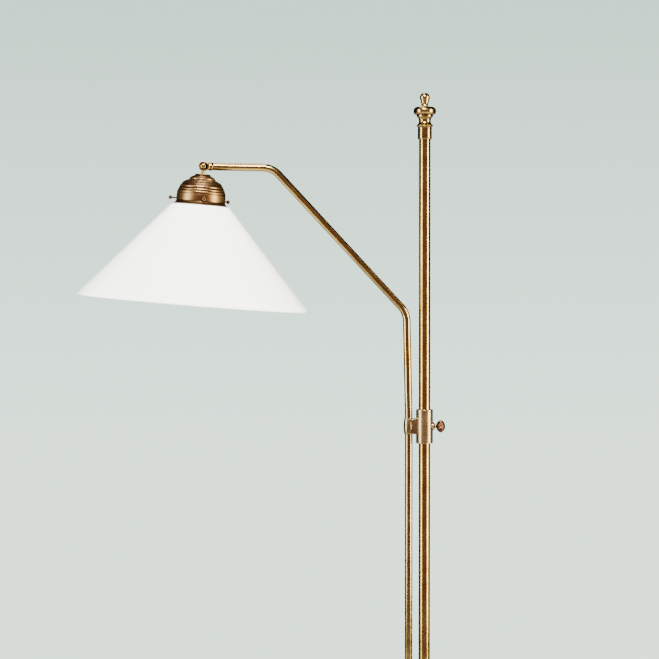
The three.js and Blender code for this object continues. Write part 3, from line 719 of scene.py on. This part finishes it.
def addGallery():
    cap = rounded(gallery["cap"], closed=True)
    finish(turned("gallery_cap_fine", cap, hangs, 192), head, spunBrass, "satin_brass",
           "gallery_cap")
    dome = rounded(gallery["dome"])
    dome = np.concatenate([dome[:1], evenly(dome[1:], 0.22)])
    # beads: pushed out by height |sin(pi s)|, s counting beads down the shoulder
    s = (dome[:, 1] - gallery["beadStart"]) / gallery["beadPitch"]
    isBead = (s > 0) & (s < gallery["beads"])
    rise = gallery["beadHeight"] * np.where(isBead, np.abs(np.sin(np.pi * s)) ** 0.7, 0)
    inner = offset(dome, gallery["wall"])[::-1]
    outer = dome + rise[:, None] * np.array([[0.86, -0.5]])
    line = np.concatenate([outer, inner])
    finish(turned("gallery_dome_fine", line, hangs, 256), head, spunBrass, "satin_brass",
           "gallery_dome")
    stem = turned("stem_rod", rounded(gallery["stem"]), hangs, 64, closed=False)
    pin = axisAlong(pivot, sideways, np.array([1.0, 0, 0]))
    tongue = turned("stem_tongue", rounded(gallery["tongue"], closed=True), pin, 96)
    finish(joined("shade_stem_fine", [stem, tongue]), head, castBrass, "antique_brass",
           "shade_stem")
    for side, axis in screwAxes.items():
        name = f"shade_screw_{side}"
        seat = axisAlong(pivot - headUp * gallery["screwDepth"] * mm, axis, headUp)
        screw = turned(name + "_fine", rounded(gallery["screw"]), seat, 64, closed=False)
        finish(screw, f"screw_{side}", darkBrass, "satin_brass", name)


# shade, lampholder and bulb
glass = {
    # lip and neck, a rounded shoulder, a straight cone and a rim as thick as the wall
    "outside": [(30.2, 36.6, 0.8), (30.2, 39.4, 0.6), (28.7, 41.2, 1), (28.7, 48.6, 1.2),
                (30.4, 51, 1), (37.8, 51, 3.5), (148.8, 174.8, 3), (150, 178.3, 0.8),
                (149.7, 179.5, 0.6)],
    "inside": [(146.9, 179.5, 0.9), (144.8, 174.4, 3), (34.6, 53.9, 5), (28.4, 53, 3), (25.6, 49, 2),
               (25.6, 36.6, 0.8)],
}
holder = {
    "cap": [(5.3, 26.1, 0.2), (13, 26.1, 2), (17.5, 29, 3), (19.5, 33, 3), (19.5, 43, 0.5),
            (18, 43, 0.4), (18, 33.6, 2), (16.4, 30.4, 2), (12.5, 28.1, 1), (5.3, 28.1, 0.2)],
    "sleeve": [(17.2, 43.3, 0.4), (19.5, 43.3, 0.4), (19.5, 78, 0.9), (17.2, 78, 0.9)],
    "bulb": [(12.3, 66, 0), (12.3, 79, 6), (15.4, 89, 14), (29.9, 112, 22), (30, 141, 24),
             (17, 158.6, 22), (0, 158.6, 0)],
    "bulbWall": 0.8,
}


def addShade():
    line = rounded(glass["outside"] + glass["inside"], closed=True, step=0.1)
    finish(turned("glass_shade_fine", line, hangs, 320), head, opal, "opal_glass", "glass_shade")
    for piece in ("cap", "sleeve"):
        name = f"lampholder_{piece}"
        line = rounded(holder[piece], closed=True)
        finish(turned(name + "_fine", line, hangs, 96), head, porcelain, "porcelain", name)
    # bulb: neck, cheeks and crown, one wall thick; the crown closes on the axis
    outer = rounded(holder["bulb"], step=0.06)
    inner = offset(outer, holder["bulbWall"])
    inner[-1, 0] = 0
    whole = np.concatenate([inner[::-1], outer])
    bulb = turned("bulb_glass_fine", whole, hangs, 128, closed=False)
    finish(bulb, head, frosted, "bulb_glass", "bulb_glass")


addFoot()
addPole()
addBlock("upper_clamp", arm)
addBlock("lower_guide", arm)
addThumbScrew()
armPoints = addArmTube()
addKnuckle(armPoints)
addGallery()
print("brass pieces are made")
addShade()
print("shade, lampholder and bulb are made")


# what the fine surfaces don't replace keeps its plain shape and takes a material
finishes = {
    "antique_brass": (tubeBrass, ("pole_foot_plug", "pole_top_plug", "lampholder_thread",
                                  "lampholder_contact")),
    "steel": (zinc, ("base_stud", "base_washer", "base_nut", "gallery_nipple", "gallery_washer",
                     "gallery_lock_nut", "bulb_contact", "bulb_cap")),
    "cast_iron": (iron, ("base_weight",)),
    "felt": (felt, ("base_felt",)),
    "nylon": (nylon, ("clamp_liner_lower", "clamp_liner_upper", "guide_liner", "clamp_pad",
                      "tilt_washer_front", "tilt_washer_back")),
    "black_rubber": (rubber, ("arm_lead", "stem_lead")),
}


def dressRest():
    for slotName, (material, names) in finishes.items():
        for name in names:
            piece = frame["nodes"][name]
            piece.data.materials.clear()
            piece.data.materials.append(material)


dressRest()


def addFloor():
    # a round pale floor, matt paint with a faint mottle
    angle = np.linspace(0, fullTurn, 128, endpoint=False)
    rim = np.stack([np.cos(angle), np.sin(angle), 0 * angle], 1) * view["floorRadius"]
    floor = meshObject("floor", rim, [list(range(len(rim)))])
    paint = speckled("mattFloorPaint", "#C9CFCB", "#C3C9C5", 166.7, 0.7, 0.01)
    floor.data.materials.append(paint)


addFloor()
print("finished")
